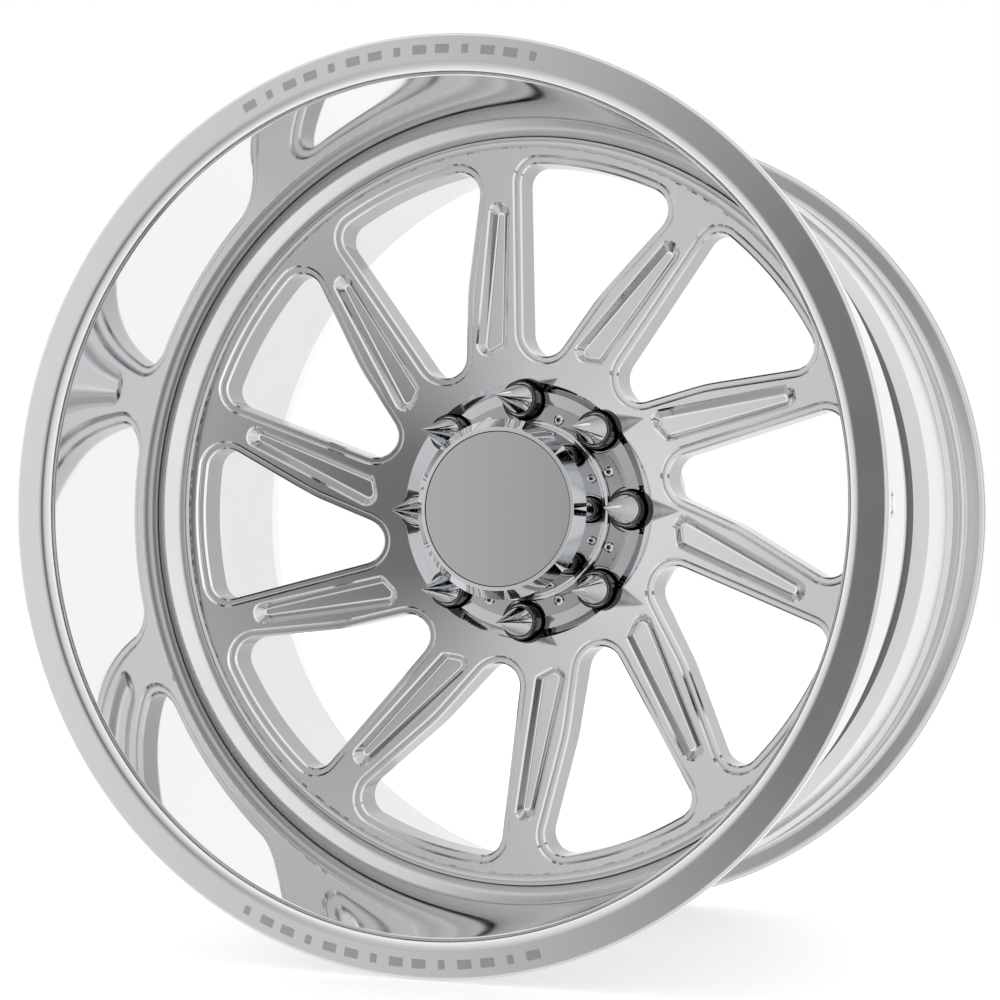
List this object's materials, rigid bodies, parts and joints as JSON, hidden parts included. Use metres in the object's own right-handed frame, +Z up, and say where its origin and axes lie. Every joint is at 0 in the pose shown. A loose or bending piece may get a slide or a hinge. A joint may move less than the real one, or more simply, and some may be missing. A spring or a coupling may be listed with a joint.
{
  "type": "forged wheel rim",
  "caption": "Deep-dish forged aluminium wheel rim with swept spokes, a raised centre cap and spiked lug nuts, welded into a spun barrel.",
  "frame": {"origin": "centre of the hub bore, on the mounting face that meets the vehicle's hub", "axes": "+Y out of the back of the wheel, towards the vehicle, along the wheel's axis; +Z up; +X to the right seen from the front"},
  "size_m": [0.6445, 0.386, 0.6446],
  "materials": {
    "polished_rim": "mirror polished lip and barrel, satin front ring",
    "satin_face": "fine satin machined and polished face",
    "weld": "as welded, fine ripples",
    "chrome": "bright chrome",
    "brushed_disc": "straight brushed",
    "chrome_screw": "bright chrome",
    "lug_chrome": "bright chrome",
    "lug_washer_steel": "plated steel",
    "rubber": "matte",
    "valve_brass": "turned brass",
    "valve_chrome": "bright chrome",
    "spring_steel": "drawn wire"
  },
  "bodies": {
    "wheel": {"rim_barrel": "polished_rim", "wheel_center": "satin_face", "weld_bead": "weld", "cap_flange": "chrome", "cap_tower": "chrome", "cap_face_disc": "brushed_disc", "cap_disc_seal": "rubber", "cap_base_seal": "rubber", "cap_screws": "chrome_screw", "valve_stem": "valve_brass", "valve_inner_grommet": "rubber", "valve_outer_grommet": "rubber", "valve_washer": "valve_chrome", "valve_nut": "valve_chrome", "valve_core_body": "valve_brass", "valve_core_spring": "spring_steel"},
    "valve_pin": {"valve_core_pin": "valve_brass"},
    "valve_cap_slider": {"valve_cap_seal": "rubber"},
    "valve_cap": {"valve_cap": "valve_chrome"},
    "lug_washer_1": {"lug_washer_1": "lug_washer_steel"},
    "lug_nut_1": {"lug_nut_1": "lug_chrome", "lug_spike_1": "lug_chrome"},
    "lug_washer_2": {"lug_washer_2": "lug_washer_steel"},
    "lug_nut_2": {"lug_nut_2": "lug_chrome", "lug_spike_2": "lug_chrome"},
    "lug_washer_3": {"lug_washer_3": "lug_washer_steel"},
    "lug_nut_3": {"lug_nut_3": "lug_chrome", "lug_spike_3": "lug_chrome"},
    "lug_washer_4": {"lug_washer_4": "lug_washer_steel"},
    "lug_nut_4": {"lug_nut_4": "lug_chrome", "lug_spike_4": "lug_chrome"},
    "lug_washer_5": {"lug_washer_5": "lug_washer_steel"},
    "lug_nut_5": {"lug_nut_5": "lug_chrome", "lug_spike_5": "lug_chrome"},
    "lug_washer_6": {"lug_washer_6": "lug_washer_steel"},
    "lug_nut_6": {"lug_nut_6": "lug_chrome", "lug_spike_6": "lug_chrome"},
    "lug_washer_7": {"lug_washer_7": "lug_washer_steel"},
    "lug_nut_7": {"lug_nut_7": "lug_chrome", "lug_spike_7": "lug_chrome"},
    "lug_washer_8": {"lug_washer_8": "lug_washer_steel"},
    "lug_nut_8": {"lug_nut_8": "lug_chrome", "lug_spike_8": "lug_chrome"}
  },
  "joints": [
    {"name": "lug_1_travel", "type": "slide", "parent": "wheel", "child": "lug_washer_1", "axis": [0, -1, 0], "range_m": [0, 0.024]},
    {"name": "lug_1_turn", "type": "hinge", "parent": "lug_washer_1", "child": "lug_nut_1", "pos_m": [0.085, -0.05, 0], "axis": [0, -1, 0], "range_deg": [0, 5760]},
    {"name": "lug_2_travel", "type": "slide", "parent": "wheel", "child": "lug_washer_2", "axis": [0, -1, 0], "range_m": [0, 0.024]},
    {"name": "lug_2_turn", "type": "hinge", "parent": "lug_washer_2", "child": "lug_nut_2", "pos_m": [0.0601, -0.05, 0.0601], "axis": [0, -1, 0], "range_deg": [0, 5760]},
    {"name": "lug_3_travel", "type": "slide", "parent": "wheel", "child": "lug_washer_3", "axis": [0, -1, 0], "range_m": [0, 0.024]},
    {"name": "lug_3_turn", "type": "hinge", "parent": "lug_washer_3", "child": "lug_nut_3", "pos_m": [0, -0.05, 0.085], "axis": [0, -1, 0], "range_deg": [0, 5760]},
    {"name": "lug_4_travel", "type": "slide", "parent": "wheel", "child": "lug_washer_4", "axis": [0, -1, 0], "range_m": [0, 0.024]},
    {"name": "lug_4_turn", "type": "hinge", "parent": "lug_washer_4", "child": "lug_nut_4", "pos_m": [-0.0601, -0.05, 0.0601], "axis": [0, -1, 0], "range_deg": [0, 5760]},
    {"name": "lug_5_travel", "type": "slide", "parent": "wheel", "child": "lug_washer_5", "axis": [0, -1, 0], "range_m": [0, 0.024]},
    {"name": "lug_5_turn", "type": "hinge", "parent": "lug_washer_5", "child": "lug_nut_5", "pos_m": [-0.085, -0.05, 0], "axis": [0, -1, 0], "range_deg": [0, 5760]},
    {"name": "lug_6_travel", "type": "slide", "parent": "wheel", "child": "lug_washer_6", "axis": [0, -1, 0], "range_m": [0, 0.024]},
    {"name": "lug_6_turn", "type": "hinge", "parent": "lug_washer_6", "child": "lug_nut_6", "pos_m": [-0.0601, -0.05, -0.0601], "axis": [0, -1, 0], "range_deg": [0, 5760]},
    {"name": "lug_7_travel", "type": "slide", "parent": "wheel", "child": "lug_washer_7", "axis": [0, -1, 0], "range_m": [0, 0.024]},
    {"name": "lug_7_turn", "type": "hinge", "parent": "lug_washer_7", "child": "lug_nut_7", "pos_m": [0, -0.05, -0.085], "axis": [0, -1, 0], "range_deg": [0, 5760]},
    {"name": "lug_8_travel", "type": "slide", "parent": "wheel", "child": "lug_washer_8", "axis": [0, -1, 0], "range_m": [0, 0.024]},
    {"name": "lug_8_turn", "type": "hinge", "parent": "lug_washer_8", "child": "lug_nut_8", "pos_m": [0.0601, -0.05, -0.0601], "axis": [0, -1, 0], "range_deg": [0, 5760]},
    {"name": "valve_pin_press", "type": "slide", "parent": "wheel", "child": "valve_pin", "axis": [1, 0, 0], "range_m": [0, 0.0015], "stiffness_N_per_m": 40, "springref_m": -0.001, "deforming": ["valve_core_spring"]},
    {"name": "valve_cap_travel", "type": "slide", "parent": "wheel", "child": "valve_cap_slider", "axis": [-1, 0, 0], "range_m": [0, 0.00794]},
    {"name": "valve_cap_turn", "type": "hinge", "parent": "valve_cap_slider", "child": "valve_cap", "pos_m": [0.28, -0.165, 0], "axis": [-1, 0, 0], "range_deg": [0, 3600]}
  ],
  "couplings": [
    {"joint": "lug_1_travel", "follows": "lug_1_turn", "m_per_rad": 0.00023873},
    {"joint": "lug_2_travel", "follows": "lug_2_turn", "m_per_rad": 0.00023873},
    {"joint": "lug_3_travel", "follows": "lug_3_turn", "m_per_rad": 0.00023873},
    {"joint": "lug_4_travel", "follows": "lug_4_turn", "m_per_rad": 0.00023873},
    {"joint": "lug_5_travel", "follows": "lug_5_turn", "m_per_rad": 0.00023873},
    {"joint": "lug_6_travel", "follows": "lug_6_turn", "m_per_rad": 0.00023873},
    {"joint": "lug_7_travel", "follows": "lug_7_turn", "m_per_rad": 0.00023873},
    {"joint": "lug_8_travel", "follows": "lug_8_turn", "m_per_rad": 0.00023873},
    {"joint": "valve_cap_turn", "follows": "valve_cap_travel", "rad_per_m": 7913.3}
  ]
}
